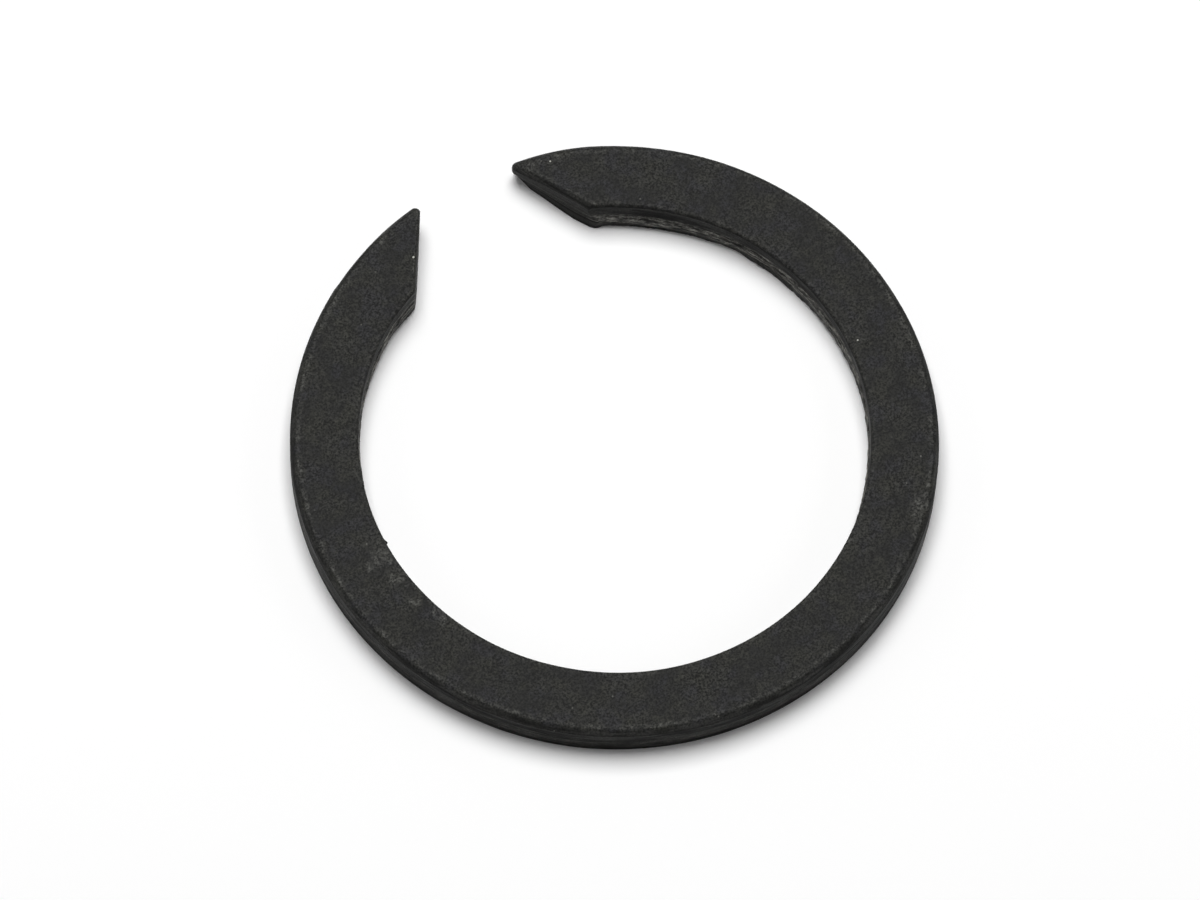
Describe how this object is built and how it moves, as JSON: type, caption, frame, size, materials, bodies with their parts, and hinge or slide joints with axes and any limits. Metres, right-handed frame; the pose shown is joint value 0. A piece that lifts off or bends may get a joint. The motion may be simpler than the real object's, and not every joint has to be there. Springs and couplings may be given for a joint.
{
  "type": "circlip retaining ring",
  "caption": "Flat split spring-steel retaining ring for a shaft groove, with slanted wedge-cut ends that come to rounded tips at the rim.",
  "frame": {"origin": "centre of the bore on the lower flat face", "axes": "+Z along the bore axis, up through the flat faces; +Y through the middle of the gap; +X to the end that the camera sees the cut face of"},
  "size_m": [0.038, 0.0377, 0.0022],
  "materials": {
    "retaining_ring": "black phosphated and oiled spring steel, matt"
  },
  "bodies": {
    "root": {"retaining_ring": "retaining_ring"}
  },
  "joints": []
}
